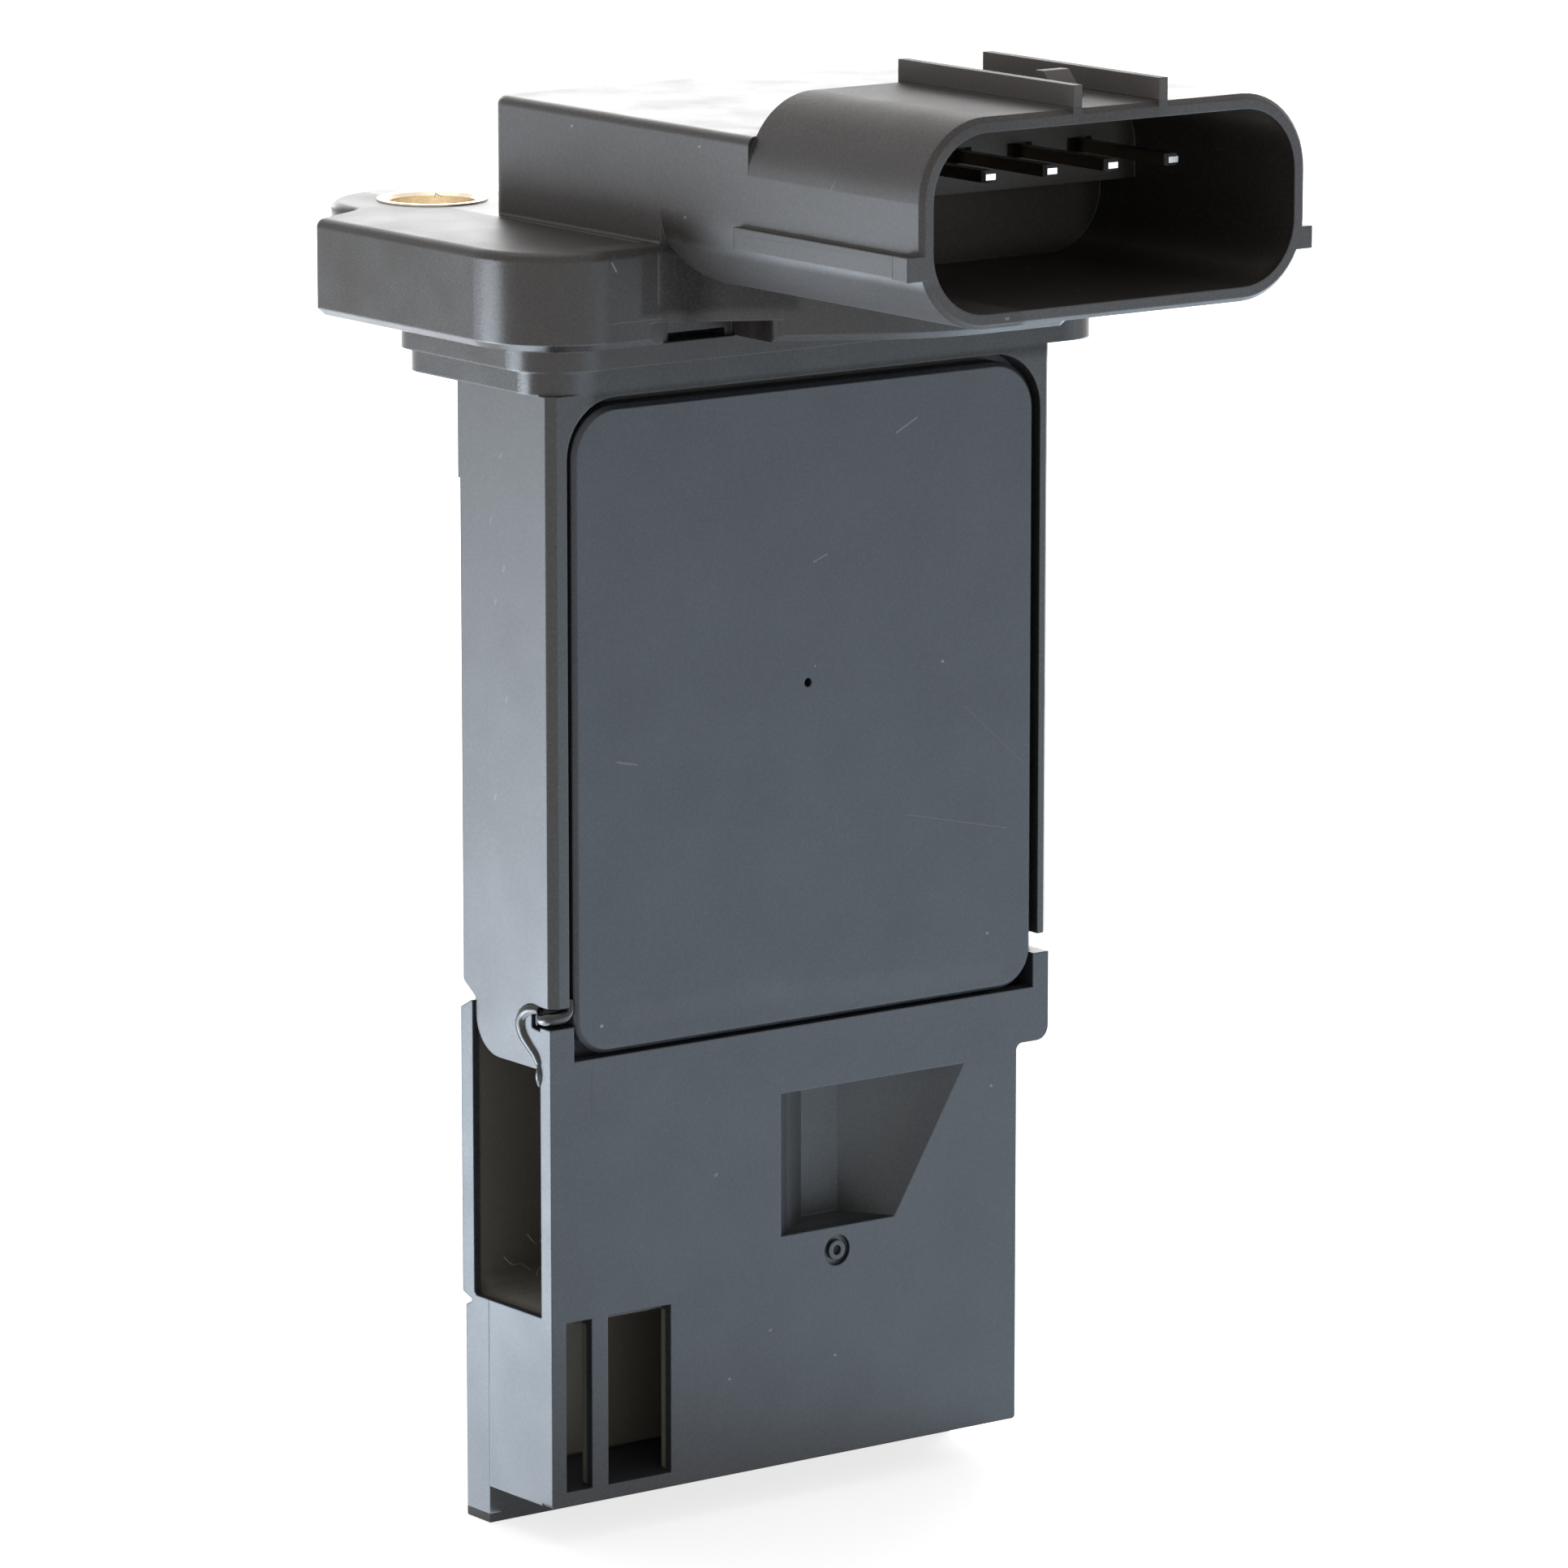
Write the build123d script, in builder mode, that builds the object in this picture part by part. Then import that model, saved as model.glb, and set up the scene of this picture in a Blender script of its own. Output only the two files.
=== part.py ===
"""Plug-in mass airflow sensor with its bypass duct, in millimetres.

X runs along the air flow, -Y is the cover side that the socket faces, +Z points out of the duct.
The origin is the centre of the plug on the plane where the flange seats.
"""
import os
from build123d import *

# Plug that fills the hole in the duct, and the wider land under the flange
plug_width = 38.4
plug_depth = 14.1
plug_height = 2.37
plug_corner = 2.4
land_height = 1.15
land_proud = 0.3
land_back_proud = 0.55
land_corner = 3.4

# Screw flange with its two lobes
flange_thick = 5.35
flange_edge = 0.4
flange_top_edge = 0.5
flange_left_over = 1.45
flange_front_over = 1.1
flange_left_back = 12.55
flange_back_over = 2.0
flange_right_over = 1.0
flange_corner = 5.5
web_knee = 1.05
web_right = 10.25
web_reach = 8.3
web_sweep = 12.0
web_corner = 0.8
web_root = 0.3
lobe_radius = 5.6
lobe_neck = 0.6
neck_round = 0.5
left_lobe_sweep = 2.0
right_lobe_sweep = 1.5
flange_back_corner = 4.0
left_lobe = (-11.1, 15.15)
right_lobe = (23.55, -4.05)
pry_notch_before = 0.7
pry_notch_width = 6.2
pry_notch_slant = 1.95
pry_notch_height = 1.25
pry_notch_corner = 0.9
pry_slot_height = 0.45
pry_slot_depth = 1.6

# Compression limiters pressed in the lobes
bush_bore = 5.0
bush_outer = 6.2
bush_proud = 0.1
bush_edge = 0.2

# Upper body with the circuit chamber
body_side_step = 0.41
body_width = 34.15
body_depth = 8.45
body_edge = 0.45
body_tail = 0.65
body_end_corner = 2.2
body_end_step = 1.15
body_end_run = 0.5
rim_rise = 2.85
rim_back_rise = 0.25
back_step_height = 5.4
back_step = 0.2
tail_side_gap = 1.1
tail_front_gap = 0.15
tail_front_rise = 1.0
tail_round = 0.3

# Cover plate, glued over the chamber
cover_height = 35.55
cover_thick = 1.2
cover_corner = 2.8
cover_low_corner = 2.2
cover_edge = 0.25
cover_left_rim = 1.52
cover_right_rim = 1.25
cover_top_drop = 3.13
groove_width = 0.4
groove_top = 0.45
bead_thick = 0.25
bead_inset = 0.2
vent_bore = 0.5
vent_height = 19.0

# Circuit chamber and what lies in it
chamber_margin = 1.65
chamber_sill = 3.55
chamber_corner = 1.2
chamber_depth = 6.95
terminal_shelf_height = 3.8
terminal_shelf_depth = 4.6
carrier_shelf_height = 2.4
carrier_shelf_depth = 6.0
base_thick = 0.6
base_margin = 0.6
board_thick = 0.65
board_margin = 1.1
board_gap = 0.5
control_chip_size = (7.2, 7.2, 1.3)
control_chip_place = (13.2, 10.5)
capacitor_size = (2.0, 1.25, 1.0)
capacitor_places = ((5.0, 15.5), (5.0, 12.0), (21.4, 15.5))
resistor_size = (1.6, 0.8, 0.5)
resistor_places = ((21.4, 12.4), (21.4, 10.2), (21.4, 8.0))

# Terminal block and connector hood
block_left_over = 6.55
block_back_over = 0.75
block_top = 12.02
block_edge = 0.5
block_corner = 1.1
hood_width = 25.7
hood_height = 11.05
hood_corner = 4.25
hood_edge = 0.25
hood_wall = 0.8
hood_top = 14.22
hood_reach = 24.0
hood_length = 15.0
socket_depth = 13.5
low_socket_depth = 16.5
low_socket_drop = 6.07
guide_spread = 5.7
guide_shift = 0.2
guide_thick = 0.59
guide_rise = 1.25
catch_width = 1.75
catch_back = 6.1
catch_flat = 0.65
catch_length = 1.95
catch_rise = 1.34
key_drop = 7.0
key_height = 1.2
key_proud = 0.45
key_back = 8.3
nub_proud = 0.9
nub_rise = 0.1
nub_length = 1.3
right_key_lower = 0.35

# Terminals
terminal_count = 5
terminal_pitch = 4.1
terminal_size = 0.64
terminal_drop = 4.0
terminal_recess = 5.45
terminal_tip = 0.16
pocket_width = 1.7
pocket_height = 0.8
pocket_depth = 0.6
terminal_end = 7.55

# Bypass shell, the lower front moulding
shell_side_step = 0.16
shell_right_step = 2.31
shell_height = 24.87
shoulder_width = 2.25
shoulder_height = 3.12
lug_rise = 1.93
lug_clearance = 0.1
cover_gap = 0.18
shell_depth = 6.0
shell_wall = 0.95
shell_floor = 0.8
shell_round = 0.2
lug_round = 0.4
shoulder_corner = 0.8
passage_split = 10.6
split_thick = 0.65
split_length = 25.0
slot_top = 10.34
slot_1_left = 0.95
slot_1_width = 1.74
slot_2_left = 3.75
slot_2_width = 4.25

# Trapezoid recess that narrows the passage at the flow chip
recess_left = 15.5
recess_bottom = 13.05
recess_height = 8.1
recess_top_width = 12.8
recess_bottom_width = 7.9
recess_depth = 3.0
recess_floor_left = 3.62
recess_floor_width = 2.5
recess_floor_height = 7.4
dimple_x = 19.4
dimple_z = 11.7
dimple_bore = 0.55
dimple_outer = 1.75
dimple_inner = 1.1
dimple_depth = 0.3

# Hooks at the shell's upper corners
hook_thick = 0.95
hook_depth = 2.7
hook_neck_drop = 0.3
hook_root_rise = 0.75
hook_bend_rise = 1.2
hook_end_rise = 0.75
hook_step = 0.2
hook_bend_inner = 0.5
hook_bend_outer = 0.9
hook_round = 0.25
hook_clearance = 0.12

# Back plate of the bypass
plate_hang = 2.1
plate_thick = 2.2
plate_back_step = 0.3
plate_clearance = 0.1
plate_top_gap = 0.65
plate_top_slope = 0.6
plate_notch_depth = 1.0
plate_notch_height = 0.35
plate_root = 0.3
plate_round = 0.1

# Flow carrier, its chip and the air temperature sensor
carrier_x = 19.0
carrier_width = 5.0
carrier_thick = 0.8
carrier_corner = 0.8
carrier_low = 13.5
chip_size = 2.2
chip_thick = 0.25
chip_rise = 2.6
chip_bead_size = (3.4, 1.2, 0.5)
thermistor_x = 7.0
thermistor_size = 1.6
thermistor_length = 2.4
thermistor_low = 16.6
lead_size = 0.4
lead_pitch = 1.8
lead_overlap = 1.5

# Bonded ribbon links
ribbon_width = 0.5
ribbon_thick = 0.2
ribbon_foot = 0.8
ribbon_rise = 0.3
ribbon_arch = 0.7
carrier_link_count = 4
carrier_link_pitch = 1.1

# Places worked out from the sizes above
plug_left = -plug_width / 2
plug_right = plug_width / 2
front = -plug_depth / 2
plug_back = plug_depth / 2
body_left = plug_left + body_side_step
body_right = body_left + body_width
body_back = front + body_depth
tail_back = body_back - body_end_step
cover_left = body_left + cover_left_rim
cover_right = body_right - cover_right_rim
cover_top = -cover_top_drop
cover_bottom = cover_top - cover_height
rim_bottom = cover_bottom + rim_rise
body_bottom = cover_bottom - body_tail
cover_x = (cover_left + cover_right) / 2
cover_back = front + cover_thick
seat_y = cover_back + bead_thick
chamber_left = cover_left + chamber_margin
chamber_right = cover_right - chamber_margin
chamber_top = cover_top - chamber_margin
chamber_bottom = cover_bottom + chamber_sill
shelf_bottom = chamber_top - terminal_shelf_height
shelf_y = front + terminal_shelf_depth
floor_y = front + chamber_depth
carrier_shelf_top = chamber_bottom + carrier_shelf_height
carrier_back = front + carrier_shelf_depth
carrier_front = carrier_back - carrier_thick
board_front = floor_y - base_thick - board_thick
board_bottom = carrier_shelf_top + board_gap + board_margin
board_top = shelf_bottom - board_gap
board_left = chamber_left + board_margin
board_right = chamber_right - board_margin
flange_left = plug_left - flange_left_over
flange_right = plug_right + flange_right_over
flange_front = front - flange_front_over
flange_back = plug_back + flange_back_over
web_front = front - web_reach
block_left = body_left + block_left_over
notch_left = block_left - pry_notch_before
notch_right = notch_left + pry_notch_width
block_back = plug_back + block_back_over
hood_x = block_left + hood_width / 2
hood_right = block_left + hood_width
hood_mouth = front - hood_reach
hood_rear = hood_mouth + hood_length
hood_z = hood_top - hood_height / 2
key_z = hood_top - key_drop
right_key_z = key_z - right_key_lower
guide_x = hood_x + guide_shift
socket_width = hood_width - 2 * hood_wall
socket_height = hood_height - 2 * hood_wall
socket_base = hood_mouth + socket_depth
low_socket_top = hood_top - low_socket_drop
terminal_z = hood_top - terminal_drop
terminal_mouth = hood_mouth + terminal_recess
terminal_low = -terminal_end
shell_left = body_left - shell_side_step
shell_right = body_right - shell_right_step
shoulder_right = shell_right + shoulder_width
shell_top = cover_bottom - cover_gap
shell_bottom = shell_top - shell_height
shoulder_bottom = shell_top - shoulder_height
lug_top = shell_top + lug_rise
left_lug = (shell_left, cover_left - lug_clearance)
right_lug = (cover_right + lug_clearance, shoulder_right)
shell_back = front + shell_depth
shell_inner = front + shell_wall
split_top = shell_bottom + passage_split
tail_front = shell_inner + tail_front_gap
tail_top = body_bottom + tail_front_rise
plate_front = tail_back + plate_clearance
plate_low_back = shell_back + plate_thick
plate_back = plate_low_back + plate_back_step
plate_top = rim_bottom - plate_top_gap
tail_right = right_lug[0] - tail_side_gap
carrier_mid = shell_left + carrier_x
carrier_bottom = shell_bottom + carrier_low
thermistor_mid = shell_left + thermistor_x
lead_y = board_front - lead_size / 2


def rect(left, right, low, high, mode=Mode.ADD):
    """A rectangle in the sketch between two sides and two levels."""
    with Locations(((left + right) / 2, (low + high) / 2)):
        Rectangle(right - left, high - low, mode=mode)


def outline(*points, radius=0.0):
    """A closed outline with rounded corners, filled in the sketch."""
    radii = radius if isinstance(radius, (list, tuple)) else [radius] * len(points)
    with BuildLine(Plane.XY) as path:
        FilletPolyline(*points, radius=radii, close=True)
    make_face(path.edges())


def terminal_side():
    """Side view of one terminal, from the socket down to its pad on the shelf."""
    top = terminal_z + terminal_size / 2
    low = terminal_z - terminal_size / 2
    nose = terminal_mouth + terminal_tip
    pad_front = shelf_y - terminal_size
    outline(
        (terminal_mouth, low + terminal_tip), (nose, low), (pad_front, low),
        (pad_front, terminal_low), (shelf_y, terminal_low), (shelf_y, top),
        (nose, top), (terminal_mouth, top - terminal_tip),
    )


def terminal_x(index):
    """Place of one terminal across the socket."""
    return hood_x + (index - (terminal_count - 1) / 2) * terminal_pitch


def hook_side(clearance):
    """Side view of a shell hook: it leaves the front wall and curls up behind the rim."""
    root = front + hook_thick + clearance
    back = front + hook_depth + clearance
    inner = back - hook_thick - 2 * clearance
    neck = shell_top - hook_neck_drop
    top = lug_top + clearance
    outline(
        (front, neck), (root, neck), (root, neck + hook_root_rise - clearance),
        (back, neck + hook_bend_rise - clearance), (back, top + hook_end_rise),
        (inner, top + hook_end_rise), (inner, top - hook_step / 2),
        (front + hook_thick, top - hook_step), (front + hook_thick - hook_step, top), (front, top),
        radius=[
            0, 0, hook_bend_inner, hook_bend_outer, hook_round, hook_round,
            hook_round / 2, hook_step / 2, hook_step / 2, 0,
        ],
    )


flange_points = [
    (flange_left, flange_front), (flange_left, flange_left_back),
    (left_lobe[0] - lobe_radius, left_lobe[1] - lobe_neck),
    (left_lobe[0] - lobe_radius, left_lobe[1] + lobe_radius),
    (left_lobe[0] + lobe_radius, left_lobe[1] + lobe_radius),
    (left_lobe[0] + lobe_radius, flange_back), (flange_right, flange_back),
    (flange_right, right_lobe[1] + lobe_radius),
    (right_lobe[0] + lobe_radius, right_lobe[1] + lobe_radius),
    (right_lobe[0] + lobe_radius, right_lobe[1] - lobe_radius),
    (web_right, right_lobe[1] - lobe_radius), (web_right, web_front),
    (web_knee, web_front), (block_left, flange_front),
]
lobe_round = lobe_radius - 0.1
flange_radii = [
    flange_corner, neck_round, neck_round, lobe_round, lobe_round, left_lobe_sweep, flange_back_corner,
    right_lobe_sweep, lobe_round, lobe_round, right_lobe_sweep, web_corner, web_sweep, web_root,
]
land_left = plug_left - land_proud
land_right = plug_right + land_proud
land_front = front - land_proud
land_back = plug_back + land_back_proud

with BuildPart() as housing:
    # Flange plate with its lobes and the web that carries the hood
    with BuildSketch(Plane.XY):
        outline(*flange_points, radius=flange_radii)
    extrude(amount=flange_thick)
    chamfer(housing.faces().sort_by(Axis.Z)[0].edges(), flange_edge)
    fillet(housing.faces().sort_by(Axis.Z)[-1].edges(), flange_top_edge)
    # Notch under the front edge with a slanted left end, and a deeper slot along the land
    with BuildSketch(Plane.XY):
        outline(
            (notch_left, web_front - 1), (notch_left, flange_front), (notch_left + pry_notch_slant, front),
            (notch_right, front), (notch_right, web_front - 1),
        )
    extrude(amount=pry_notch_height, mode=Mode.SUBTRACT)
    fillet(
        housing.edges().filter_by(Axis.Z).filter_by_position(Axis.X, notch_right - 0.01, notch_right + 0.01)
        .sort_by(Axis.Y)[0], pry_notch_corner,
    )
    with BuildSketch(Plane.XY):
        rect(
            notch_left + pry_notch_slant, notch_right - pry_notch_corner / 2,
            flange_front, front + pry_slot_depth,
        )
    extrude(amount=pry_slot_height, mode=Mode.SUBTRACT)
    # Land and plug
    with BuildSketch(Plane.XY):
        outline(
            (land_left, land_front), (land_left, land_back),
            (land_right, land_back), (land_right, land_front),
            radius=[land_corner, plug_corner, plug_corner, land_corner],
        )
    extrude(amount=-land_height)
    with BuildSketch(Plane.XY.offset(-land_height)):
        RectangleRounded(plug_width, plug_depth, plug_corner)
    extrude(amount=land_height - plug_height)
    # Upper body, drawn from the side: it ends in a rounded tail between shell and back plate
    with BuildSketch(Plane.YZ.offset(body_left)):
        outline(
            (front, -plug_height), (front, rim_bottom), (seat_y, rim_bottom),
            (seat_y, tail_top), (tail_front, tail_top), (tail_front, body_bottom), (tail_back, body_bottom),
            (tail_back, rim_bottom - body_end_run), (body_back, rim_bottom + rim_back_rise),
            (body_back, -plug_height),
            radius=[0, 0, 0, 0, 0, tail_round, body_end_corner, tail_round, tail_round, 0],
        )
    extrude(amount=body_width)
    chamfer(
        housing.edges().filter_by(Axis.Z).filter_by_position(Axis.Y, front - 0.01, front + 0.01)
        .filter_by(lambda edge: edge.length > cover_height / 2), body_edge,
    )
    with BuildSketch(Plane.XY.offset(-plug_height)):
        rect(body_left, body_right, body_back - 1, body_back + back_step)
    extrude(amount=-back_step_height)
    # The tail stands inside the shell's right wall, and clears its left hook
    with BuildSketch(Plane.XY.offset(rim_bottom)):
        rect(tail_right, body_right + 1, front - 1, body_back + 1)
    extrude(amount=body_bottom - rim_bottom - 1, mode=Mode.SUBTRACT)
    with BuildSketch(Plane.YZ.offset(shell_left - 1)):
        hook_side(hook_clearance)
    extrude(amount=left_lug[1] + hook_clearance - shell_left + 1, mode=Mode.SUBTRACT)
    # Recess for the cover, and the circuit chamber behind it with its two shelves
    with BuildSketch(Plane.XZ.offset(-front)):
        rect(cover_left - groove_width, cover_right + groove_width, shell_bottom, cover_top + groove_top)
        fillet(vertices().group_by(Axis.Y)[-1], cover_corner + groove_width)
    extrude(amount=-(cover_thick + bead_thick), mode=Mode.SUBTRACT)
    with BuildSketch(Plane.XZ.offset(-seat_y)):
        rect(chamber_left, chamber_right, chamber_bottom, chamber_top)
        fillet(vertices(), chamber_corner)
    extrude(amount=seat_y - shelf_y, mode=Mode.SUBTRACT)
    with BuildSketch(Plane.XZ.offset(-shelf_y)):
        rect(chamber_left, chamber_right, chamber_bottom, shelf_bottom)
        fillet(vertices(), chamber_corner)
    extrude(amount=shelf_y - carrier_back, mode=Mode.SUBTRACT)
    with BuildSketch(Plane.XZ.offset(-carrier_back)):
        rect(chamber_left, chamber_right, carrier_shelf_top, shelf_bottom)
        fillet(vertices(), chamber_corner)
    extrude(amount=carrier_back - floor_y, mode=Mode.SUBTRACT)
    # Slot for the flow carrier and holes for the thermistor leads
    with BuildSketch(Plane.XY.offset(chamber_bottom)):
        rect(carrier_mid - carrier_width / 2, carrier_mid + carrier_width / 2, carrier_front, carrier_back)
        with Locations((thermistor_mid, lead_y)), GridLocations(lead_pitch, 1, 2, 1):
            Circle(lead_size / 2)
    extrude(amount=body_bottom - chamber_bottom - 1, mode=Mode.SUBTRACT)
    # Terminal block on the flange, and in front of it the hood's rounded section with a flat top
    with BuildSketch(Plane.XY.offset(flange_thick / 2)):
        outline(
            (block_left, flange_front), (block_left, block_back), (hood_right, block_back),
            (hood_right, flange_front), radius=[0, block_corner, block_corner, 0],
        )
    extrude(amount=block_top - flange_thick / 2)
    with BuildSketch(Plane.XZ.offset(-hood_rear)):
        with Locations((hood_x, hood_z)):
            RectangleRounded(hood_width, hood_height, hood_corner)
        rect(block_left, hood_right, hood_z, block_top)
        rect(block_left, hood_right, block_top, hood_top + 1, mode=Mode.SUBTRACT)
    extrude(amount=hood_rear - flange_front)
    fillet(
        housing.edges().filter_by_position(Axis.Z, block_top - 0.01, block_top + 0.01)
        .filter_by_position(Axis.Y, hood_rear + 1, block_back + 1), block_edge,
    )
    # Connector hood, its key ribs, guide ribs and latch wedge
    with BuildSketch(Plane.XZ.offset(-hood_mouth)):
        with Locations((hood_x, hood_z)):
            RectangleRounded(hood_width, hood_height, hood_corner)
    extrude(amount=-hood_length)
    chamfer(housing.faces().sort_by(Axis.Y)[0].outer_wire().edges(), hood_edge)
    with BuildSketch(Plane.XZ.offset(-hood_mouth)):
        rect(block_left - key_proud, hood_x, key_z - key_height, key_z)
        rect(hood_x, hood_right + key_proud, right_key_z - key_height, right_key_z)
    extrude(amount=hood_mouth - (front - key_back))
    with BuildSketch(Plane.XZ.offset(-hood_mouth)):
        rect(block_left - nub_proud, hood_x, key_z - key_height, key_z + nub_rise)
        rect(hood_x, hood_right + key_proud, right_key_z - key_height, right_key_z)
    extrude(amount=-nub_length)
    with BuildSketch(Plane.XZ.offset(-hood_mouth)):
        with Locations((guide_x, hood_top)), GridLocations(guide_spread, 1, 2, 1):
            Rectangle(guide_thick, 2 * guide_rise)
    extrude(amount=-hood_length)
    with BuildSketch(Plane.YZ.offset(guide_x - catch_width / 2)):
        catch_y = hood_mouth + catch_back
        outline(
            (catch_y, hood_top - hood_wall / 2), (catch_y, hood_top + catch_rise),
            (catch_y - catch_flat, hood_top + catch_rise), (catch_y - catch_length, hood_top),
            (catch_y - catch_length, hood_top - hood_wall / 2),
        )
    extrude(amount=catch_width)
    # Socket, deeper in its lower part, with a pocket round each terminal
    with BuildSketch(Plane.XZ.offset(-hood_mouth)):
        with Locations((hood_x, hood_z)):
            RectangleRounded(socket_width, socket_height, hood_corner - hood_wall)
    extrude(amount=-socket_depth, mode=Mode.SUBTRACT)
    with BuildSketch(Plane.XZ.offset(-hood_mouth)):
        with Locations((hood_x, hood_z)):
            RectangleRounded(socket_width, socket_height, hood_corner - hood_wall)
        rect(block_left, hood_right, low_socket_top, hood_top, mode=Mode.SUBTRACT)
    extrude(amount=-low_socket_depth, mode=Mode.SUBTRACT)
    with BuildSketch(Plane.XZ.offset(-socket_base)):
        with Locations((hood_x, terminal_z)), GridLocations(terminal_pitch, 1, terminal_count, 1):
            Rectangle(pocket_width, pocket_height)
    extrude(amount=-pocket_depth, mode=Mode.SUBTRACT)
    for index in range(terminal_count):
        with BuildSketch(Plane.YZ.offset(terminal_x(index) - terminal_size / 2)):
            terminal_side()
        extrude(amount=terminal_size, mode=Mode.SUBTRACT)
    # Holes for the compression limiters
    with BuildSketch(Plane.XY):
        with Locations(left_lobe, right_lobe):
            Circle(bush_outer / 2)
    extrude(amount=flange_thick, mode=Mode.SUBTRACT)
housing.part.label = "housing"

with BuildPart() as cover_plate:
    with BuildSketch(Plane.XZ.offset(-front)):
        rect(cover_left, cover_right, cover_bottom, cover_top)
        fillet(vertices().group_by(Axis.Y)[-1], cover_corner)
        fillet(vertices().group_by(Axis.Y)[0], cover_low_corner)
        with Locations((cover_x, cover_bottom + vent_height)):
            Circle(vent_bore / 2, mode=Mode.SUBTRACT)
    extrude(amount=-cover_thick)
    chamfer(cover_plate.faces().sort_by(Axis.Y)[0].outer_wire().edges(), cover_edge)
cover_plate.part.label = "cover_plate"

with BuildPart() as cover_sealant:
    with BuildSketch(Plane.XZ.offset(-cover_back)):
        rect(cover_left + bead_inset, cover_right - bead_inset, tail_top, cover_top - bead_inset)
        fillet(vertices(), cover_corner - bead_inset)
        rect(
            chamber_left - bead_inset, chamber_right + bead_inset, chamber_bottom - bead_inset,
            chamber_top + bead_inset, mode=Mode.SUBTRACT,
        )
        rect(shell_left, left_lug[1] + hook_clearance, shell_top - 1, rim_bottom, mode=Mode.SUBTRACT)
        rect(tail_right, shoulder_right, shell_top - 1, rim_bottom, mode=Mode.SUBTRACT)
    extrude(amount=-bead_thick)
cover_sealant.part.label = "cover_sealant"

bushes = {}
for name, centre in (("bush_left", left_lobe), ("bush_right", right_lobe)):
    with BuildPart(Plane.XY.move(Location((centre[0], centre[1], 0)))) as bush:
        Cylinder(bush_outer / 2, flange_thick + bush_proud, align=(Align.CENTER, Align.CENTER, Align.MIN))
        Hole(bush_bore / 2)
        inner = bush.edges().filter_by(GeomType.CIRCLE).filter_by(lambda e: e.radius < bush_outer / 2 - 0.1)
        chamfer(inner, bush_edge)
    bush.part.label = name
    bushes[name] = bush.part

with BuildPart() as bypass_shell:
    # Front wall with the lugs, the wide shoulder and the two outlet slots
    with BuildSketch(Plane.XZ.offset(-front)):
        outline(
            (shell_left, shell_bottom), (shell_left, lug_top), (left_lug[1], lug_top),
            (left_lug[1], shell_top), (right_lug[0], shell_top),
            (right_lug[0], lug_top), (shoulder_right, lug_top),
            (shoulder_right, shoulder_bottom), (shell_right, shoulder_bottom),
            (shell_right, shell_bottom),
            radius=[
                shell_round, 0, lug_round, 0, 0, lug_round, 0,
                shoulder_corner, shoulder_corner / 2, shell_round,
            ],
        )
        rect(
            shell_left + slot_1_left, shell_left + slot_1_left + slot_1_width,
            shell_bottom + shell_floor, shell_bottom + slot_top, mode=Mode.SUBTRACT,
        )
        rect(
            shell_left + slot_2_left, shell_left + slot_2_left + slot_2_width,
            shell_bottom + shell_floor, shell_bottom + slot_top, mode=Mode.SUBTRACT,
        )
    extrude(amount=-shell_wall)
    # Side walls, floor and the wall that folds the passage back on itself
    with BuildSketch(Plane.XZ.offset(-shell_inner)):
        rect(shell_left, shell_left + shell_wall, shell_bottom, split_top)
        rect(shell_left, shell_right, shell_bottom, shell_bottom + shell_floor)
        rect(shell_left, shell_left + split_length, split_top - split_thick, split_top)
        rect(shell_right - shell_wall, shell_right, shell_bottom, shoulder_bottom + shell_wall)
        rect(
            shell_right - shell_wall, shoulder_right, shoulder_bottom,
            shoulder_bottom + shell_wall,
        )
        rect(right_lug[0], right_lug[1], shoulder_bottom, lug_top)
    extrude(amount=shell_inner - shell_back)
    # Hooks at both upper corners
    for left, right in (left_lug, right_lug):
        with BuildSketch(Plane.YZ.offset(left)):
            hook_side(0)
        extrude(amount=right - left)
    # Trapezoid recess, a loft from the slanted outline to its flat floor, with a wall round it
    left = shell_left + recess_left
    low = shell_bottom + recess_bottom
    for wall, mode in ((shell_wall, Mode.ADD), (0, Mode.SUBTRACT)):
        with BuildSketch(Plane.XZ.offset(-front)):
            with BuildLine():
                Polyline(
                    (left - wall, low - wall), (left + recess_bottom_width + wall, low - wall),
                    (left + recess_top_width + wall, low + recess_height + wall),
                    (left - wall, low + recess_height + wall), close=True,
                )
            make_face()
        with BuildSketch(Plane.XZ.offset(-front - recess_depth - wall)):
            floor_left = left + recess_floor_left
            rect(
                floor_left - wall, floor_left + recess_floor_width + wall,
                low - wall, low + recess_floor_height + wall,
            )
        loft(ruled=True, mode=mode)
    # Moulding dimple under the recess
    with BuildSketch(Plane.XZ.offset(-front)):
        with Locations((shell_left + dimple_x, shell_bottom + dimple_z)):
            Circle(dimple_outer / 2)
            Circle(dimple_inner / 2, mode=Mode.SUBTRACT)
            Circle(dimple_bore / 2)
    extrude(amount=-dimple_depth, mode=Mode.SUBTRACT)
bypass_shell.part.label = "bypass_shell"

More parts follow.
